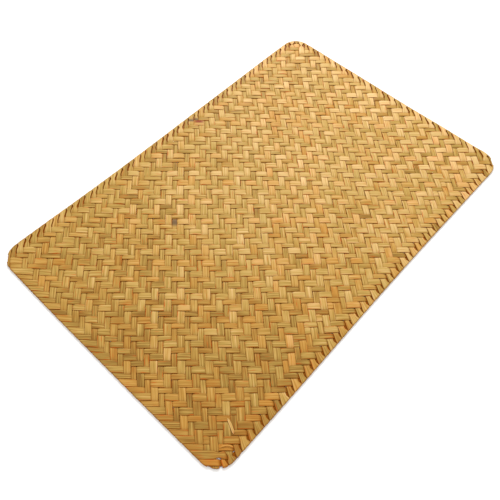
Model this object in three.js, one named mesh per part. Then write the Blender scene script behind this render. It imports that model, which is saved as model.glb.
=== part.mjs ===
// A pandanus mat: one flat sheet plaited from leaf strips, lying on a table.
// Units are millimetres, +Z is up, and the origin is under the middle of the mat.

import * as THREE from 'three';

// Length and width of the mat between its straight sides, and its thickness.
const matLength = 450;
const matWidth = 297.7;
const matThickness = 2;

// The strips turn over along the rim, which rounds it by this much.
const rimRound = 0.6;
const rimSteps = 2;

// Points drawn on each curve of the outline.
const curveSteps = 8;

// Radius of the rounding at each corner.
const cornerRadius = {
  backLeft: 20,
  backRight: 19,
  frontRight: 21,
  frontLeft: 19.5,
};

// How far the plaiting draws each side in from its straight line, at even steps from corner to corner.
// A negative inset bulges out. The back and front run from left to right, the others from back to front.
const sideInsets = {
  back: [-0.75, 0.75, 1.9, 1.5, 1.3, 0.7, 0.6],
  right: [0.35, 0.3, 0.6, 0.5, 1.25, 0.45, 0.45, 0.1],
  front: [-0.6, -0.75, -0.55, 0, 0.05, -0.4, -1.25, -2.1],
  left: [1.3, 0.45, 0.15, 0.05, 0.1, 0.5],
};

// Share of the radius that a cubic curve's handles take to draw a quarter of a circle.
const quarterHandle = 0.5523;

// Where a point of each side lies, from its distance along the side and its inset.
const sidePoint = {
  back: (along, inset) => new THREE.Vector2(along - matLength / 2, matWidth / 2 - inset),
  front: (along, inset) => new THREE.Vector2(along - matLength / 2, inset - matWidth / 2),
  left: (along, inset) => new THREE.Vector2(inset - matLength / 2, matWidth / 2 - along),
  right: (along, inset) => new THREE.Vector2(matLength / 2 - inset, matWidth / 2 - along),
};

// The points of one side between the roundings at its two ends.
function sideCurve(side, startRadius, endRadius) {
  const insets = sideInsets[side];
  const sideLength = side === 'back' || side === 'front' ? matLength : matWidth;
  const step = (sideLength - startRadius - endRadius) / (insets.length - 1);
  return insets.map((inset, index) => sidePoint[side](startRadius + index * step, inset));
}

// Rounds the corner between the path's last point and the next side's first one.
function roundCorner(outline, from, to, corner) {
  const leaving = from.clone().lerp(corner, quarterHandle);
  const arriving = to.clone().lerp(corner, quarterHandle);
  outline.bezierCurveTo(leaving.x, leaving.y, arriving.x, arriving.y, to.x, to.y);
}

// The mat's outline seen from above, drawn anticlockwise from the back left corner.
function matOutline() {
  const { backLeft, backRight, frontRight, frontLeft } = cornerRadius;
  const left = sideCurve('left', backLeft, frontLeft);
  const front = sideCurve('front', frontLeft, frontRight);
  const right = sideCurve('right', backRight, frontRight).reverse();
  const back = sideCurve('back', backLeft, backRight).reverse();
  const outline = new THREE.Shape();
  const sides = [left, front, right, back];
  outline.moveTo(left[0].x, left[0].y);
  sides.forEach((side, index) => {
    const next = sides[(index + 1) % sides.length];
    const end = side[side.length - 1];
    const start = next[0];
    const runsAlongX = index % 2 === 1;
    const corner = runsAlongX ? new THREE.Vector2(start.x, end.y) : new THREE.Vector2(end.x, start.y);
    outline.splineThru(side.slice(1));
    roundCorner(outline, end, start, corner);
  });
  return outline;
}

// The whole mat is one flat sheet with a rounded rim.
function makeMat() {
  const geometry = new THREE.ExtrudeGeometry(matOutline(), {
    depth: matThickness - 2 * rimRound,
    bevelEnabled: true,
    bevelThickness: rimRound,
    bevelSize: rimRound,
    bevelOffset: -rimRound,
    bevelSegments: rimSteps,
    curveSegments: curveSteps,
  });
  geometry.center();
  geometry.translate(0, 0, matThickness / 2);
  const driedLeaf = new THREE.MeshStandardMaterial({ color: 0xc79a4e, roughness: 0.6, metalness: 0 });
  const mat = new THREE.Mesh(geometry, driedLeaf);
  mat.name = 'mat';
  return mat;
}

const part = new THREE.Group();
part.add(makeMat());

export default part;
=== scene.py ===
import math

import bpy
import numpy as np
from mathutils import Matrix, Vector


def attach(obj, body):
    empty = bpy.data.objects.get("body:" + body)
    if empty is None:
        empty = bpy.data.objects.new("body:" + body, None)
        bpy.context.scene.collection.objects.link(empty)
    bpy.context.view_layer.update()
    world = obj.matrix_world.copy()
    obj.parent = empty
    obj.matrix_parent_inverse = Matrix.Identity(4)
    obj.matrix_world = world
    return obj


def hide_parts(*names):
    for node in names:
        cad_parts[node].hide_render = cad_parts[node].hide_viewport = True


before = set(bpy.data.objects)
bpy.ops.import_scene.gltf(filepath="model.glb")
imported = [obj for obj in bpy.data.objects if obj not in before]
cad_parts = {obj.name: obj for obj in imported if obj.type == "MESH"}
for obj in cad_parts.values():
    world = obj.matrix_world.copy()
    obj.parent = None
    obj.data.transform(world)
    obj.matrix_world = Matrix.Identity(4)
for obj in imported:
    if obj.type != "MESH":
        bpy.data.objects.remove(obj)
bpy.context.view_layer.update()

mm = 0.001  # sizes here are in millimetres, and Blender's are in metres


# The plait is counted in half crossings, from the left side to the right and from the back to the front.
plait = {
    "halvesLong": 109,
    "halvesShort": 67,
    "backOver": (0, 1, 2, 5, 6),  # rows behind the body where the rising strips lie on top
    "backRows": 8,
    "frontOver": (0, 1, 4, 5),  # the same rows counted from the front side
    "frontRows": 6,
    "foldRows": {"leftCorners": 3, "right": 2, "front": 1, "left": 2},  # rows that fold over a side
    "cornerRound": {"backLeft": 20, "backRight": 19, "frontRight": 21, "frontLeft": 19.5},
    "driftAt": (0, 8, 28, 50, 70, 85, 97, 109),  # the crossings crowd a little towards the left here
    "driftBy": (0, -2.5, -2.3, 0.3, -0.1, -2.0, -3.2, 0),
    "driftSamples": 437,
    "driftReach": 24,  # samples on each side that soften the drift
    "driftSoftness": 9,
    "stripSpacing": 6.05,  # from the middle of one strip to the next
    "bow": 1.8,  # the lines across the mat bow to the right at the back and the front
    "bowMiddle": 0.3,
    "bowStart": 16,  # the bow fades in over this many half crossings from the left
    "frontRowDepth": 0.45,  # the last row at the front is this much deeper, in half crossings
    # the rows at the back right crowd towards the back, by half crossings along and across
    "backRightCrowd": {"by": 2.4, "start": 72, "rise": 26, "backRise": 9, "end": 36, "fall": 22},
    "waver": 0.45,  # how far the whole plait wanders from straight lines
    "waverWaves": 5,
    "waverLengths": (70, 190),
    "calmDepth": 30,  # nearer to the rim than this it wanders less
    # places where strips part: sideways and lengthwise place along the rising strips, and reach
    "holes": ((34.1, -30.7, 0.48), (35.9, -30.6, 0.32)),  # open ones at the front left corner
    "gaps": ((54.1, 51.9, 0.3), (56.2, 51.3, 0.34), (86.0, 19.9, 0.34), (84.4, 18.6, 0.34)),
    # torn strips at the front left corner: whether rising, which strip, and where along it
    "orangeEnds": ((False, -30, 35.1), (False, -32, 33.5), (True, 34, -31.5)),
    "seed": 41,
}

# Runs are lengths along a strip, counted in crossings.
strip = {
    "wideShare": 1.15,  # width of a bright strip against the spacing
    "narrowShare": 0.83,
    "widthSpread": 0.05,
    "shortest": 1.5,  # a shorter one is left out
    "wander": 0.05,  # sideways wander of one strip against the spacing
    "wanderRun": 5.0,
    "swell": 0.07,  # how much its width changes along the way
    "swellRun": 3.0,
    "calmRun": 2.5,  # both fade out towards the ends, so that the folds stay closed
    "foldPinch": 0.4,  # strips that fold over are narrower just inside the rim, which leaves dark gaps
    "frontPinch": 0.14,
    "pinchSpread": (0.6, 1.4),
    "pinchRun": 1.0,
    "pinchReach": 0.5,
    "leastShare": 0.25,  # a narrower one is left out
    "cornerSlack": 0.35,
    "cornerProbes": 61,
    "holePinch": 0.42,
    "holeWidth": 0.8,
    "underSpread": 0.14,  # strips that end below the folds are spread wider there
    "underRun": 1.5,
    "frontLean": 0.42,  # the folds along the front lean to the right by this share of the spacing
    "leanRun": 1.6,
    "leanPower": 1.5,
    "leanShortest": 3,  # strips across a corner lean less
    "leanRise": 6,
    "thick": 0.78,  # thickness in the middle of a strip
    "edgeThick": 0.42,
    "sectionPower": 2.6,
    "lift": 0.5,  # height of a strip's middle over the plait's middle plane
    "brightLift": 0.04,
    "unevenLift": 0.03,
    "unevenRun": 3.0,
    "turnLength": 0.95,  # share of a crossing that a strip takes to dive under the next
    "rowsInCell": (0.0, 0.15, 0.35, 0.65, 0.85),
    "rowClear": 0.08,
    "endRows": (0.0, 0.18, 0.42, 0.7),
    "endReach": 70,
    "endStep": 0.02,
    "squareInset": 0.3,
    "foldSteps": 6,
    "foldRun": 0.05,
    "slopeProbe": 0.2,
    "topColumns": (-1.0, -0.84, -0.46, 0.0, 0.46, 0.84, 1.0),
    "underColumns": (0.6, -0.6),
    "leafShift": (37.0, 11.0),  # moves each strip to its own place in the fibres
}

sideFit = {"cornerClear": 24, "scale": 100, "degree": 7}

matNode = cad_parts["mat"]
matPoints = np.array([vertex.co for vertex in matNode.data.vertices]) / mm
matHeight = matPoints[:, 2].max()
middleHeight = matHeight / 2
rim = matPoints[np.abs(matPoints[:, 2] - middleHeight) < matHeight / 4]
halfLong = rim[:, 0].max()
halfShort = rim[:, 1].max()


def fitSide(alongAxis, sign):  # a smooth curve along one side of the rim, run straight on past the corners
    reach = rim[:, alongAxis].max() - sideFit["cornerClear"]
    onSide = (np.abs(rim[:, alongAxis]) < reach) & (rim[:, 1 - alongAxis] * sign > 0)
    along = rim[onSide, alongAxis]
    curve = np.polyfit(along / sideFit["scale"], rim[onSide, 1 - alongAxis], sideFit["degree"])
    return lambda place: np.polyval(curve, np.clip(place, -reach, reach) / sideFit["scale"])


backSide = fitSide(0, 1)
frontSide = fitSide(0, -1)
leftSide = fitSide(1, -1)
rightSide = fitSide(1, 1)

fineHalves = np.linspace(0, plait["halvesLong"], plait["driftSamples"])
softSteps = np.arange(-plait["driftReach"], plait["driftReach"] + 1)
softKernel = np.exp(-0.5 * (softSteps / plait["driftSoftness"]) ** 2)
roughDrift = np.interp(fineHalves, plait["driftAt"], plait["driftBy"])
longDrift = np.pad(roughDrift, plait["driftReach"], mode="reflect", reflect_type="odd")
softDrift = np.convolve(longDrift, softKernel / softKernel.sum(), "valid")


def smoothStep(share):
    share = np.clip(share, 0, 1)
    return share * share * (3 - 2 * share)


def ripple(x, y, seed):  # a smooth uneven field between about -1 and 1
    dice = np.random.default_rng(seed)
    total = np.zeros(np.broadcast(x, y).shape)
    for _ in range(plait["waverWaves"]):
        angle = dice.uniform(0, 2 * math.pi)
        length = dice.uniform(*plait["waverLengths"])
        phase = dice.uniform(0, 2 * math.pi)
        total = total + np.sin((x * math.cos(angle) + y * math.sin(angle)) * 2 * math.pi / length + phase)
    return total / math.sqrt(plait["waverWaves"])


def insideDepth(x, y):  # distance in from the rim, negative outside it
    left = x - leftSide(y)
    right = rightSide(y) - x
    back = backSide(x) - y
    front = y - frontSide(x)
    depth = np.minimum(np.minimum(left, right), np.minimum(back, front))
    rounds = plait["cornerRound"]
    for along, across, radius in (
        (left, back, rounds["backLeft"]),
        (right, back, rounds["backRight"]),
        (right, front, rounds["frontRight"]),
        (left, front, rounds["frontLeft"]),
    ):
        inCorner = (along < radius) & (across < radius)
        rounded = radius - np.hypot(radius - along, radius - across)
        depth = np.where(inCorner, rounded, depth)
    return depth


def onTable(p, d):  # plan place of a point of the plait, from its half crossings along and across
    driftHere = np.interp(p, fineHalves, softDrift)
    alongShare = p / plait["halvesLong"] + driftHere / (2 * halfLong)
    acrossShare = d / (plait["halvesShort"] + plait["frontRowDepth"])
    roughX = (alongShare * 2 - 1) * halfLong
    roughY = (1 - acrossShare * 2) * halfShort
    x = leftSide(roughY) + alongShare * (rightSide(roughY) - leftSide(roughY))
    y = backSide(roughX) + acrossShare * (frontSide(roughX) - backSide(roughX))
    calm = np.clip(insideDepth(x, y) / plait["calmDepth"], 0, 1) * plait["waver"]
    shiftX = calm * ripple(x, y, plait["seed"])
    shiftY = calm * ripple(x, y, plait["seed"] + 1)
    bowed = plait["bowMiddle"] + plait["bow"] * np.clip(2 * acrossShare - 1, -1, 1) ** 2
    crowd = plait["backRightCrowd"]
    crowded = crowd["by"] * smoothStep((p - crowd["start"]) / crowd["rise"])
    crowded = crowded * smoothStep(d / crowd["backRise"])
    crowded = crowded * smoothStep((crowd["end"] - d) / crowd["fall"])
    return x + shiftX + bowed * smoothStep(p / plait["bowStart"]), y + shiftY + crowded


def risingOnTop(p, d):  # whether the rising strip lies over the falling one at a crossing
    p = min(max(p, 0), plait["halvesLong"])
    d = min(max(d, 0), plait["halvesShort"])
    fromFront = plait["halvesShort"] - d
    fromRight = plait["halvesLong"] - p
    folds = plait["foldRows"]
    if p + d <= folds["leftCorners"] or p + fromFront <= folds["leftCorners"]:
        return True
    if fromRight <= folds["right"] or fromFront <= folds["front"]:
        return True
    if p <= folds["left"]:
        return False
    if d <= plait["backRows"]:
        return d in plait["backOver"]
    if fromFront <= plait["frontRows"]:
        return fromFront in plait["frontOver"]
    return p % 4 in (0, 3)  # twill: over two and under two, in lines across the mat


def halvesOf(rising, side, run):  # half crossings from a strip's sideways and lengthwise places
    return side + run, (side - run if rising else run - side)


def crossingsOf(rising, index, cells):  # +1 where this strip is on top, -1 where it is under
    signs = []
    for cell in cells:
        p = index + cell + 1
        d = index - cell if rising else cell - index
        signs.append(1.0 if risingOnTop(p, d) == rising else -1.0)
    return np.array(signs)


foldInset = strip["lift"] + strip["thick"] / 2  # the fold's outer face then lies on the rim


def endRuns(rising, sides, startRun, outward):  # where each line of a strip meets the fold line
    steps = np.arange(0, strip["endReach"], strip["endStep"])
    runs = startRun + outward * steps
    p, d = halvesOf(rising, sides[:, None], runs[None, :])
    inside = insideDepth(*onTable(p, d)) >= foldInset
    stillInside = np.cumprod(inside, axis=1).sum(axis=1)
    return startRun + outward * steps[np.maximum(stillInside - 1, 0)], stillInside


def drawnIn(rising, middleSide, share, startRun):  # a strip across a corner is kept inside its rounding
    sides = middleSide + np.linspace(-share / 2, share / 2, strip["cornerProbes"])
    p, d = halvesOf(rising, sides, np.full_like(sides, startRun))
    inside = sides[insideDepth(*onTable(p, d)) >= foldInset + strip["cornerSlack"]]
    if len(inside) in (0, len(sides)):
        return middleSide, share * len(inside) / len(sides)
    return (inside[0] + inside[-1]) / 2, inside[-1] - inside[0]


def stripColumns():  # the closed outline of a strip's section: across share and height, top first
    top = np.array(strip["topColumns"])
    under = np.array(strip["underColumns"])
    middle, edge = strip["thick"] / 2, strip["edgeThick"] / 2
    crown = edge + (middle - edge) * (1 - np.abs(top) ** strip["sectionPower"])
    belly = -(edge + (middle - edge) * (1 - np.abs(under) ** strip["sectionPower"]))
    return np.concatenate([top, under]), np.concatenate([crown, belly])


acrossShares, sectionHeights = stripColumns()
middleColumn = strip["topColumns"].index(0.0)


def smoothNoise(dice, places, spacing):  # a slowly changing random value along a strip
    knots = np.arange(math.floor(places.min() / spacing) - 1, math.ceil(places.max() / spacing) + 2)
    values = dice.uniform(-1, 1, len(knots))
    at = places / spacing - knots[0]
    low = np.clip(np.floor(at).astype(int), 0, len(knots) - 2)
    return values[low] + (values[low + 1] - values[low]) * smoothStep(at - low)


def runLimits(rising, middleSide):  # where a strip's middle line enters and leaves the plait
    halvesLong, halvesShort = plait["halvesLong"], plait["halvesShort"]
    if rising:
        return max(-middleSide, middleSide - halvesShort), min(halvesLong - middleSide, middleSide)
    return max(-middleSide, middleSide), min(halvesLong - middleSide, middleSide + halvesShort)


def stripEnds(dice, rising, index, line):  # end line, pinch and lean at a strip's low end and its high end
    ends = []
    for outward in (-1, 1):
        middleEnd, _ = endRuns(rising, np.array([line["side"]]), line["startRun"], outward)
        foldsOver = crossingsOf(rising, index, [math.floor(middleEnd[0])])[0] > 0
        leans = rising and foldsOver and outward < 0 and line["lowRun"] > -line["side"]
        pinch = 0
        if rising and foldsOver:
            pinch = strip["frontPinch" if leans else "foldPinch"] * dice.uniform(*strip["pinchSpread"])
        lean = 0
        if leans:
            runLength = line["highRun"] - line["lowRun"]
            lean = strip["frontLean"] * smoothStep((runLength - strip["leanShortest"]) / strip["leanRise"])
        endSides = line["side"] + lean + acrossShares * line["share"] / 2
        endLine, insideCount = endRuns(rising, endSides, line["startRun"], outward)
        if insideCount.min() == 0:
            return None
        ends.append({"line": endLine, "pinch": pinch, "lean": lean})
    return ends


def stripRuns(lowEnds, highEnds):  # rows along a strip: slanted ones at both ends, square ones between
    lowSquare = lowEnds.max() + strip["squareInset"]
    highSquare = highEnds.min() - strip["squareInset"]
    if highSquare - lowSquare < strip["squareInset"]:
        return None
    cells = np.arange(math.floor(lowSquare), math.ceil(highSquare) + 1)
    squares = np.sort((cells[:, None] + np.array(strip["rowsInCell"])[None, :]).ravel())
    clear = strip["rowClear"]
    squares = squares[(squares > lowSquare + clear) & (squares < highSquare - clear)]
    squares = np.concatenate([[lowSquare], squares, [highSquare]])
    runs = [lowEnds + (lowSquare - lowEnds) * share for share in strip["endRows"]]
    runs += [np.full(len(acrossShares), run) for run in squares]
    runs += [highEnds + (highSquare - highEnds) * share for share in reversed(strip["endRows"])]
    return np.array(runs)


def stripSides(dice, rising, index, line, ends, runs):  # sideways place of every point of a strip
    middleRuns = runs[:, middleColumn]
    fromLow = middleRuns - middleRuns[0]
    fromHigh = middleRuns[-1] - middleRuns
    calm = smoothStep(np.minimum(fromLow, fromHigh) / strip["calmRun"])
    wander = smoothNoise(dice, middleRuns, strip["wanderRun"]) * strip["wander"] * calm
    swell = 1 + smoothNoise(dice, middleRuns, strip["swellRun"]) * strip["swell"] * calm
    narrowing = 1
    for fromEnd, end in ((fromLow, ends[0]), (fromHigh, ends[1])):
        pinched = np.exp(-((fromEnd - strip["pinchRun"]) / strip["pinchReach"]) ** 2)
        narrowing = narrowing - end["pinch"] * pinched
    for fromEnd, endRun in ((fromLow, middleRuns[0]), (fromHigh, middleRuns[-1])):
        if crossingsOf(rising, index, [math.floor(endRun)])[0] < 0:
            narrowing = narrowing + strip["underSpread"] * smoothStep(strip["underRun"] - fromEnd)
    for side, run, reach in plait["holes"] + (plait["gaps"] if rising else ()):
        holeSide, holeRun = (side, run) if rising else (run, side)
        if abs(line["side"] - holeSide) < strip["holeWidth"]:
            narrowing = narrowing - strip["holePinch"] * np.exp(-((middleRuns - holeRun) / reach) ** 2)
    halfWidths = line["share"] / 2 * swell * narrowing
    leaning = ends[0]["lean"] * np.clip(1 - fromLow / strip["leanRun"], 0, 1) ** strip["leanPower"]
    return line["side"] + (wander + leaning)[:, None] + acrossShares[None, :] * halfWidths[:, None]


def stripLevels(rising, index, runs):  # from 1 on top to -1 under, with a short dive between crossings
    firstCell = math.floor(runs.min()) - 2
    cells = np.arange(firstCell, math.ceil(runs.max()) + 3)
    signs = crossingsOf(rising, index, cells)
    at = runs - 0.5 - firstCell
    low = np.floor(at).astype(int)
    dive = smoothStep((at - low - 0.5) / strip["turnLength"] + 0.5)
    return signs[low] + (signs[low + 1] - signs[low]) * dive


def turnedRows(endX, endY, raised):  # rows that turn round the rim and go under
    probe = strip["slopeProbe"]
    slopeX = insideDepth(endX + probe, endY) - insideDepth(endX - probe, endY)
    slopeY = insideDepth(endX, endY + probe) - insideDepth(endX, endY - probe)
    slope = np.hypot(slopeX, slopeY)
    outX, outY = -slopeX / slope, -slopeY / slope
    turned = []
    for step in range(1, strip["foldSteps"] + 1):
        angle = math.pi * step / strip["foldSteps"]
        reach = raised * math.sin(angle) + sectionHeights * math.sin(angle)
        height = middleHeight + (raised * math.cos(angle) + sectionHeights * math.cos(angle))
        turned.append(np.stack([endX + outX * reach, endY + outY * reach, height], axis=1))
    return np.array(turned)


# Blemishes on single strips: which strip, where along it, how far, and whether only on its far half.
stains = [
    {"rising": True, "index": 28, "run": 7.4, "reach": 0.75, "farHalf": False, "red": False},
    {"rising": True, "index": 31, "run": 30.1, "reach": 0.3, "farHalf": False, "red": False},
    {"rising": True, "index": 32, "run": 30.4, "reach": 0.3, "farHalf": False, "red": False},
    {"rising": True, "index": 36, "run": 29.9, "reach": 0.3, "farHalf": False, "red": False},
    {"rising": False, "index": 29, "run": 33.0, "reach": 0.9, "farHalf": True, "red": True},
]


def stainShares(rising, index, runs):  # how grey and how red a strip is along its way
    shares = {False: np.zeros(runs.shape), True: np.zeros(runs.shape)}
    for stain in stains:
        if (stain["rising"], stain["index"]) == (rising, index):
            spread = np.exp(-((runs - stain["run"]) / stain["reach"]) ** 4)
            if stain["farHalf"]:
                spread = spread * smoothStep(acrossShares * 1.5 + 0.5)[None, :]  # fades out across it
            shares[stain["red"]] = np.maximum(shares[stain["red"]], spread)
    return shares[False], shares[True]


# Colours change over the mat, by shares of its length from the left and of its width from the front.
tint = {
    "contrast": 0.04,  # between bright and dull strips, most of it towards the back right
    "contrastRight": 0.2,
    "contrastBack": 0.04,
    "contrastEnd": 0.2,
    "stripSpread": 0.16,
    # painted light: paler towards the right, nearer the lamp and its sheen
    "paintedLightRight": 0.18,
    "paintedLightMiddle": 0.55,
    "slowRun": 7.0,  # each leaf changes slowly, and a little every few crossings
    "slow": 0.22,
    "quickRun": 2.0,
    "quick": 0.2,
    "paintedShadeFrontLeft": (0.44, 0.62, 0.28),  # painted shade: deeper and more orange at the front left corner, away from the lamp, and less so rightwards and back
    "paintedShadeTone": 1.55,
    "paintedShadeHue": 1.3,
    "paintedShadeBack": 0.2,  # painted shade: the back is darker, less so towards its corners, to offset the lamp's stronger light there
    "hueSpread": 0.5,
    "hueSlowRun": 8.0,
    "hueSlow": 0.4,
    "hueQuick": 0.3,
    "hueLeft": 0.7,
    "hueRight": 0.5,
    "orangeEnd": 1.3,
    # painted shade where a strip dives under its neighbour
    "shadeStart": 0.35,
    "shadeRise": 0.9,
    "rimShade": 0.7,  # painted shade: below the folds along the rim it is darker still
    "rimRun": 2.2,
    # painted shade on the outer faces of the folds, where the lamp lights them
    "foldShade": 0.8,
    "risingEdge": 0.86,  # the rising strips show their trimmed edges a little on both sides
    "nearEdgeShade": 1.0,  # and the falling ones most on the near side, which is painted shade under their near edges
    "farEdge": 0.76,
}


def stripTone(dice, bright, xShare, yShare, paintedShadeHere, lengthRuns):  # from -1 for deep to 1 for pale, with painted light on the right and painted shade at the back and front left
    contrast = tint["contrast"] + tint["contrastRight"] * xShare + tint["contrastBack"] * yShare
    contrast = contrast + tint["contrastEnd"] * np.clip(xShare * 5 - 4, 0, 1)
    tone = contrast * (1 if bright else -1) + dice.uniform(-1, 1) * tint["stripSpread"]
    # painted light towards the right
    tone = tone + tint["paintedLightRight"] * (xShare - tint["paintedLightMiddle"])
    slow = smoothNoise(dice, lengthRuns, tint["slowRun"]) * tint["slow"]
    quick = smoothNoise(dice, lengthRuns, tint["quickRun"]) * tint["quick"]
    # painted shade at the back
    backShade = tint["paintedShadeBack"] * smoothStep(yShare * 2 - 1) * smoothStep(xShare * 3)
    backShade = backShade * smoothStep(2.7 - 2.2 * xShare)
    return tone + (slow + quick)[:, None] - paintedShadeHere * tint["paintedShadeTone"] - backShade


def stripHue(dice, rising, index, xShare, paintedShadeHere, lengthRuns):  # from -1 for khaki to 1 for orange, more orange where the front left has painted shade
    hue = dice.uniform(-1, 1) * tint["hueSpread"]
    hue = hue + smoothNoise(dice, lengthRuns, tint["hueSlowRun"]) * tint["hueSlow"]
    hue = hue + smoothNoise(dice, lengthRuns, tint["quickRun"]) * tint["hueQuick"]
    hue = hue * (tint["hueLeft"] + tint["hueRight"] * xShare) + paintedShadeHere * tint["paintedShadeHue"]
    for orangeRising, orangeIndex, orangeRun in plait["orangeEnds"]:
        if (orangeRising, orangeIndex) == (rising, index):
            hue = hue + tint["orangeEnd"] * np.exp(-((lengthRuns - orangeRun) / 1.0) ** 4)
    return hue


def stripShade(rowLevels, lengthRuns):  # painted shade: the faces hidden between crossings and where a strip dives are painted dark
    isTop = np.arange(len(acrossShares)) < len(strip["topColumns"])
    topShade = smoothStep(tint["shadeStart"] - rowLevels * tint["shadeRise"])
    underShade = smoothStep(tint["shadeStart"] + rowLevels * tint["shadeRise"])
    shade = np.where(isTop[None, :], topShade, underShade)
    fromRim = np.minimum(lengthRuns - lengthRuns[0], lengthRuns[-1] - lengthRuns)
    shade = shade * (1 + tint["rimShade"] * smoothStep(tint["rimRun"] - fromRim))[:, None]
    onFold = fromRim < strip["foldSteps"] * strip["foldRun"]
    return shade + tint["foldShade"] * onFold[:, None] * (rowLevels > 0)


def stripColours(dice, rising, index, bright, rows, rowRuns, rowLevels):  # what the leaf material reads
    lengthRuns = rowRuns[:, middleColumn]
    xShare = rows[:, :, 0] / (2 * halfLong) + 0.5
    yShare = rows[:, :, 1] / (2 * halfShort) + 0.5
    paintedShadeMost, lessRight, lessBack = tint["paintedShadeFrontLeft"]
    # painted shade, strongest at the front left corner
    paintedShadeHere = np.clip(paintedShadeMost - lessRight * xShare - lessBack * yShare, 0, 1)
    tone = stripTone(dice, bright, xShare, yShare, paintedShadeHere, lengthRuns)
    hue = stripHue(dice, rising, index, xShare[:, middleColumn], paintedShadeHere[:, middleColumn], lengthRuns)
    # painted shade: the falling strips' near edges are browner, for the shadow line below them
    fallingEdgeAndShade = np.where(acrossShares < 0, tint["nearEdgeShade"], tint["farEdge"])
    edge = np.abs(acrossShares) * (tint["risingEdge"] if rising else fallingEdgeAndShade)
    grey, red = stainShares(rising, index, rowRuns)
    return {
        "tone": tone,
        "hue": np.repeat(hue[:, None], len(acrossShares), axis=1),
        "edge": np.broadcast_to(edge, rowRuns.shape),
        "shade": stripShade(rowLevels, lengthRuns),
        "grey": grey,
        "red": red,
    }


def buildStrip(rising, index, bright):
    dice = np.random.default_rng(plait["seed"] * 1000 + index * 2 + (1 if rising else 0) + 500)
    lowRun, highRun = runLimits(rising, index + 0.5)
    if highRun - lowRun < strip["shortest"]:
        return None
    share = strip["wideShare"] if bright else strip["narrowShare"]
    share += dice.uniform(-1, 1) * strip["widthSpread"]
    startRun = (lowRun + highRun) / 2
    side, share = drawnIn(rising, index + 0.5, share, startRun)
    if share < strip["leastShare"]:
        return None
    line = {"side": side, "share": share, "lowRun": lowRun, "highRun": highRun, "startRun": startRun}
    ends = stripEnds(dice, rising, index, line)
    if ends is None:
        return None
    runs = stripRuns(ends[0]["line"], ends[1]["line"])
    if runs is None:
        return None
    x, y = onTable(*halvesOf(rising, stripSides(dice, rising, index, line, ends, runs), runs))
    levels = stripLevels(rising, index, runs)
    lift = strip["lift"] + (strip["brightLift"] if bright else 0)
    uneven = smoothNoise(dice, runs[:, middleColumn], strip["unevenRun"])[:, None] * strip["unevenLift"]
    raised = levels * lift + uneven
    rows = np.stack([x, y, middleHeight + raised + sectionHeights[None, :]], axis=2)
    # an end that lies on top turns round the rim and goes under
    rowRuns, rowLevels = runs, levels
    for atEnd in (0, -1):
        if levels[atEnd, middleColumn] <= 0:
            continue
        turned = turnedRows(x[atEnd], y[atEnd], raised[atEnd])
        onward = np.arange(1, len(turned) + 1)[:, None] * strip["foldRun"] * (1 if atEnd else -1)
        foldRuns = runs[atEnd][None, :] + onward
        foldLevels = np.ones_like(foldRuns)
        if atEnd == 0:
            rows = np.concatenate([turned[::-1], rows])
            rowRuns = np.concatenate([foldRuns[::-1], rowRuns])
            rowLevels = np.concatenate([foldLevels, rowLevels])
        else:
            rows = np.concatenate([rows, turned])
            rowRuns = np.concatenate([rowRuns, foldRuns])
            rowLevels = np.concatenate([rowLevels, foldLevels])
    spacing = plait["stripSpacing"]
    shiftLong, shiftAcross = strip["leafShift"]
    acrossLeaf = acrossShares * share / 2 * spacing + index * shiftAcross
    leafPlaces = [rowRuns * spacing + index * shiftLong, np.broadcast_to(acrossLeaf, rowRuns.shape)]
    ribbon = stripColours(dice, rising, index, bright, rows, rowRuns, rowLevels)
    ribbon["rows"] = rows
    ribbon["uv"] = np.stack(leafPlaces, axis=2)
    return ribbon


# Loose slivers on top at the front left corner: a pale one, and the orange curl of a torn strip.
slivers = [
    {
        "from": (-183.9, -121.1), "to": (-190.0, -134.0),
        "wide": 2.3, "rise": 0.4, "bow": 0.3, "tone": 0.2, "hue": 0.4,
    },
    {
        "from": (-206.0, -132.6), "to": (-197.6, -141.2),
        "wide": 1.4, "rise": 0.6, "bow": 1.8, "tone": -0.2, "hue": 2.6,
    },
]
sliverForm = {"rows": 15, "tipShare": 0.25, "taper": 6, "height": 0.1, "thinness": 0.4, "edge": 0.93}


def buildSliver(sliver):  # a thin ribbon with tapered ends, bowed sideways and lifted in the middle
    start, end = np.array(sliver["from"]), np.array(sliver["to"])
    shares = np.linspace(0, 1, sliverForm["rows"])
    along = end - start
    across = np.array([-along[1], along[0]]) / np.hypot(*along)
    arch = np.sin(shares * math.pi)
    fullness = smoothStep(np.minimum(shares, 1 - shares) * sliverForm["taper"])
    halfWidths = sliver["wide"] / 2 * (sliverForm["tipShare"] + (1 - sliverForm["tipShare"]) * fullness)
    sideways = acrossShares[None, :] * halfWidths[:, None] + (sliver["bow"] * arch)[:, None]
    plan = start + shares[:, None, None] * along + sideways[:, :, None] * across
    section = sectionHeights[None, :] * sliverForm["thinness"]
    heights = matHeight + sliverForm["height"] + (sliver["rise"] * arch)[:, None] + section
    even = np.ones(heights.shape)
    lengths = shares[:, None] * np.hypot(*along) * even
    return {
        "rows": np.dstack([plan, heights]),
        "uv": np.dstack([lengths, sideways]),
        "tone": even * sliver["tone"],
        "hue": even * sliver["hue"],
        "edge": even * np.abs(acrossShares) * sliverForm["edge"],
        "shade": even * 0,
        "grey": even * 0,
        "red": even * 0,
    }


def ribbonFaces(rows, start):  # sides and both ends of one closed ribbon, facing outwards
    count, around = rows.shape[:2]
    grid = start + np.arange(count * around).reshape(count, around)
    nextGrid = np.roll(grid, -1, axis=1)
    quads = np.stack([grid[:-1], nextGrid[:-1], nextGrid[1:], grid[1:]], axis=2).reshape(-1, 4)
    halfway = count // 2
    alongWay = rows[halfway + 1, middleColumn] - rows[halfway, middleColumn]
    acrossWay = rows[halfway, middleColumn + 1] - rows[halfway, middleColumn]
    caps = [grid[0][::-1], grid[-1]]
    if np.cross(acrossWay, alongWay)[2] <= 0:
        quads = quads[:, ::-1]
        caps = [cap[::-1] for cap in caps]
    return quads.tolist() + [cap.tolist() for cap in caps]


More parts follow.
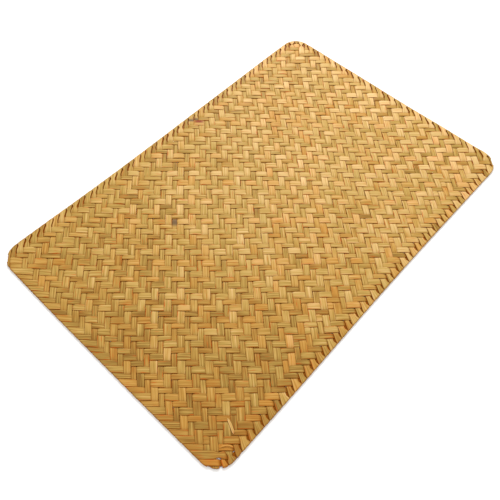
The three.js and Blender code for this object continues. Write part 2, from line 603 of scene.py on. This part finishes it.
def joinStrips(name, strips):  # one mesh object from many ribbons
    points, faces, uvs = [], [], []
    extras = {"tone": [], "hue": [], "edge": [], "shade": [], "grey": [], "red": []}
    start = 0
    for ribbon in strips:
        points.append(ribbon["rows"].reshape(-1, 3) * mm)
        uvs.append(ribbon["uv"].reshape(-1, 2) * mm)
        for key in extras:
            extras[key].append(np.asarray(ribbon[key]).ravel())
        faces.extend(ribbonFaces(ribbon["rows"], start))
        start += len(points[-1])
    mesh = bpy.data.meshes.new(name)
    mesh.from_pydata(np.concatenate(points).tolist(), [], faces)
    mesh.shade_smooth()
    corners = np.empty(len(mesh.loops), dtype=np.int32)
    mesh.loops.foreach_get("vertex_index", corners)
    leafMap = mesh.uv_layers.new(name="leafLength")
    leafMap.data.foreach_set("uv", np.concatenate(uvs)[corners].ravel())
    for key, values in extras.items():
        layer = mesh.attributes.new(key, "FLOAT", "POINT")
        layer.data.foreach_set("value", np.concatenate(values))
    piece = bpy.data.objects.new(name, mesh)
    bpy.context.scene.collection.objects.link(piece)
    triangles = sum(len(face.vertices) - 2 for face in mesh.polygons)
    print("plaited", name, len(strips), "ribbons", triangles, "triangles")
    return piece


def plaitStrips():
    halvesLong, halvesShort = plait["halvesLong"], plait["halvesShort"]
    risingIndices = range(0, (halvesLong + halvesShort) // 2)
    fallingIndices = range(-(halvesShort + 1) // 2, (halvesLong + 1) // 2)
    groups = {}
    for rising, indices in ((True, risingIndices), (False, fallingIndices)):
        for index in indices:
            bright = index % 2 == 1
            ribbon = buildStrip(rising, index, bright)
            if ribbon is None:
                continue
            name = ("rising" if rising else "falling") + ("_bright" if bright else "_dull") + "_strips"
            groups.setdefault(name, []).append(ribbon)
    groups["falling_bright_strips"] += [buildSliver(sliver) for sliver in slivers]
    return {name: joinStrips(name, ribbons) for name, ribbons in groups.items()}


pieces = plaitStrips()


def hexColour(code):  # sRGB hex to linear
    values = [int(code[place:place + 2], 16) / 255 for place in (0, 2, 4)]
    return [v / 12.92 if v <= 0.04045 else ((v + 0.055) / 1.055) ** 2.4 for v in values] + [1]


def addNode(material, kind, settings=None, links=None):  # one node with its settings and what feeds it
    node = material.node_tree.nodes.new(kind)
    for key, value in (settings or {}).items():
        if isinstance(key, str) and hasattr(node, key):
            setattr(node, key, value)
        else:
            node.inputs[key].default_value = value
    for key, socket in (links or {}).items():
        material.node_tree.links.new(socket, node.inputs[key])
    return node


leaf = {
    "stain": "5e4a38",
    "redStain": "7d2c10",
    "tones": ((0.0, "845f28"), (0.3, "a68440"), (0.5, "ba9752"), (0.72, "cba66a"), (1.0, "dcb77e")),
    "orange": "c87f2e",
    "khaki": "a68d48",
    "redStreak": "b85212",
    # the brown of trimmed edges, also painted shade along the falling strips' near edges
    "edgeBrownAndShade": "904c04",
    # the dark brown of the painted shade on hidden faces, gaps and folds
    "paintedShadeBrown": "884800",
    "fibreWidth": 1.1,  # real fibres are finer, and are drawn this coarse to show at all
    "fibreLength": 40,
    "fibreNoise": {"Scale": 1, "Detail": 2, "Roughness": 0.6},
    "fibreShift": {"From Min": 0.3, "From Max": 0.7, "To Min": -0.32, "To Max": 0.32},
    "streakWidth": 0.8,
    "streakLength": 13,
    "streakNoise": {"Scale": 1, "Detail": 1},
    "streakPlace": (7.3, 3.1, 0),
    "toOrange": {"From Min": 0.1, "From Max": 1.3, "To Max": 0.55},
    "toKhaki": {"From Min": -0.1, "From Max": -1.3, "To Max": 0.5},
    "streakEdge": {"From Min": 0.45, "From Max": 1.0, "To Max": 0.15},
    "streakShare": {"From Min": 0.64, "From Max": 0.76, "To Max": 0.85},
    "edgeShare": {"From Min": 0.68, "From Max": 1.0, "To Max": 0.9},
    "greyShare": 0.85,
    "shadeShare": 0.58,
    "bump": {"Strength": 0.4, "Distance": 0.0001},
    "roughness": 0.45,
    "gloss": 0.06,
}


def pandanusLeaf(name):  # dried leaf: straw to ochre, long fibres, reddish edges, a soft waxy sheen; it also carries painted shade and painted light from the strips' marks
    material = bpy.data.materials.new(name)
    material.use_nodes = True
    shader = material.node_tree.nodes["Principled BSDF"]
    place = addNode(material, "ShaderNodeUVMap", {"uv_map": "leafLength"})
    marks = {}
    for key in ("tone", "hue", "edge", "shade", "grey", "red"):
        marks[key] = addNode(material, "ShaderNodeAttribute", {"attribute_name": key}).outputs["Fac"]
    fibrePlace = addNode(material, "ShaderNodeMapping", {
        "Scale": (1000 / leaf["fibreLength"], 1000 / leaf["fibreWidth"], 1),
    }, {"Vector": place.outputs["UV"]})
    fibres = addNode(material, "ShaderNodeTexNoise", leaf["fibreNoise"], {
        "Vector": fibrePlace.outputs["Vector"],
    })
    streakPlace = addNode(material, "ShaderNodeMapping", {
        "Location": leaf["streakPlace"],
        "Scale": (1000 / leaf["streakLength"], 1000 / leaf["streakWidth"], 1),
    }, {"Vector": place.outputs["UV"]})
    streaks = addNode(material, "ShaderNodeTexNoise", leaf["streakNoise"], {
        "Vector": streakPlace.outputs["Vector"],
    })
    # straw tones by strip and by fibre
    toneHalf = addNode(material, "ShaderNodeMath", {"operation": "MULTIPLY_ADD", 1: 0.5, 2: 0.5}, {
        0: marks["tone"],
    })
    fibreShift = addNode(material, "ShaderNodeMapRange", leaf["fibreShift"], {
        "Value": fibres.outputs["Fac"],
    })
    toneSum = addNode(material, "ShaderNodeMath", {"operation": "ADD"}, {
        0: toneHalf.outputs[0], 1: fibreShift.outputs[0],
    })
    straw = addNode(material, "ShaderNodeValToRGB", {}, {"Fac": toneSum.outputs[0]})
    stops = straw.color_ramp.elements
    stops[0].position, stops[0].color = leaf["tones"][0][0], hexColour(leaf["tones"][0][1])
    stops[1].position, stops[1].color = leaf["tones"][-1][0], hexColour(leaf["tones"][-1][1])
    for position, code in leaf["tones"][1:-1]:
        stops.new(position).color = hexColour(code)
    # some lengths turn orange and some khaki
    toOrange = addNode(material, "ShaderNodeMapRange", leaf["toOrange"], {"Value": marks["hue"]})
    orange = addNode(material, "ShaderNodeMix", {"data_type": "RGBA", 7: hexColour(leaf["orange"])}, {
        0: toOrange.outputs[0], 6: straw.outputs["Color"],
    })
    toKhaki = addNode(material, "ShaderNodeMapRange", leaf["toKhaki"], {"Value": marks["hue"]})
    khaki = addNode(material, "ShaderNodeMix", {"data_type": "RGBA", 7: hexColour(leaf["khaki"])}, {
        0: toKhaki.outputs[0], 6: orange.outputs[2],
    })
    # red streaks along the fibres, more of them towards the edges
    streakEdge = addNode(material, "ShaderNodeMapRange", leaf["streakEdge"], {"Value": marks["edge"]})
    streakSum = addNode(material, "ShaderNodeMath", {"operation": "ADD"}, {
        0: streaks.outputs["Fac"], 1: streakEdge.outputs[0],
    })
    streakShare = addNode(material, "ShaderNodeMapRange", leaf["streakShare"], {
        "Value": streakSum.outputs[0],
    })
    streaked = addNode(material, "ShaderNodeMix", {"data_type": "RGBA", 7: hexColour(leaf["redStreak"])}, {
        0: streakShare.outputs[0], 6: khaki.outputs[2],
    })
    # single stained lengths
    greyShare = addNode(material, "ShaderNodeMath", {"operation": "MULTIPLY", 1: leaf["greyShare"]}, {
        0: marks["grey"],
    })
    greyed = addNode(material, "ShaderNodeMix", {"data_type": "RGBA", 7: hexColour(leaf["stain"])}, {
        0: greyShare.outputs[0], 6: streaked.outputs[2],
    })
    reddened = addNode(material, "ShaderNodeMix", {"data_type": "RGBA", 7: hexColour(leaf["redStain"])}, {
        0: marks["red"], 6: greyed.outputs[2],
    })
    # trimmed edges are brown, with painted shade along the falling strips' near edges; the hidden faces
    # get painted shade
    edgeShare = addNode(material, "ShaderNodeMapRange", leaf["edgeShare"], {"Value": marks["edge"]})
    edged = addNode(material, "ShaderNodeMix", {"data_type": "RGBA", 7: hexColour(leaf["edgeBrownAndShade"])}, {
        0: edgeShare.outputs[0], 6: reddened.outputs[2],
    })
    # painted shade: the shade mark mixes in dark brown
    shadeShare = addNode(material, "ShaderNodeMath", {"operation": "MULTIPLY", 1: leaf["shadeShare"]}, {
        0: marks["shade"],
    })
    shaded = addNode(material, "ShaderNodeMix", {"data_type": "RGBA", 7: hexColour(leaf["paintedShadeBrown"])}, {
        0: shadeShare.outputs[0], 6: edged.outputs[2],
    })
    material.node_tree.links.new(shaded.outputs[2], shader.inputs["Base Color"])
    bump = addNode(material, "ShaderNodeBump", leaf["bump"], {"Height": fibres.outputs["Fac"]})
    material.node_tree.links.new(bump.outputs["Normal"], shader.inputs["Normal"])
    shader.inputs["Roughness"].default_value = leaf["roughness"]
    shader.inputs["Specular IOR Level"].default_value = leaf["gloss"]
    return material


driedLeaf = pandanusLeaf("dried pandanus leaf")
for piece in pieces.values():
    piece.data.materials.append(driedLeaf)
    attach(piece, "root")
    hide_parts("mat")


floor = {"size": 6.0, "colour": "f4f3f1", "roughness": 0.9}
bpy.ops.mesh.primitive_plane_add(size=floor["size"], location=(0, 0, 0))
floorPiece = bpy.context.object
floorPiece.name = "floor"
floorMaterial = bpy.data.materials.new("matt white paper")  # a pale ground without sheen
floorMaterial.use_nodes = True
floorShader = floorMaterial.node_tree.nodes["Principled BSDF"]
floorShader.inputs["Base Color"].default_value = hexColour(floor["colour"])
floorShader.inputs["Roughness"].default_value = floor["roughness"]
floorPiece.data.materials.append(floorMaterial)

# The lamp stands behind on the right and is in metres, as it is far off.
light = {
    "dome": 1.0,
    "key": {"place": (0.87, 0.78, 0.85), "aim": (0, 0, 0), "size": 0.4, "power": 16},
}
world = bpy.data.worlds.new("studio")
bpy.context.scene.world = world
world.use_nodes = True
world.node_tree.nodes["Background"].inputs["Color"].default_value = (1, 1, 1, 1)
world.node_tree.nodes["Background"].inputs["Strength"].default_value = light["dome"]
key = light["key"]
bpy.ops.object.light_add(type="AREA", location=key["place"])
keyLight = bpy.context.object
keyLight.data.energy = key["power"]
keyLight.data.size = key["size"]
keyLight.rotation_euler = (Vector(key["aim"]) - Vector(key["place"])).to_track_quat("-Z", "Y").to_euler()

view = {
    "place": (-264.5, -205.4, 482.0),
    "aim": (-48.6, -23.0, 0.0),
    "roll": 2.586,  # degrees
    "lens": 40.30,
    "sensor": 36,
    "nearest": 10,
}
bpy.ops.object.camera_add(location=[value * mm for value in view["place"]])
camera = bpy.context.object
look = (Vector(view["aim"]) - Vector(view["place"])).to_track_quat("-Z", "Y")
camera.rotation_euler = (look.to_matrix() @ Matrix.Rotation(math.radians(view["roll"]), 3, "Z")).to_euler()
camera.data.lens = view["lens"]
camera.data.sensor_width = view["sensor"]
camera.data.clip_start = view["nearest"] * mm
bpy.context.scene.camera = camera
bpy.context.scene.view_settings.view_transform = "Standard"
print("camera, floor and lights placed")
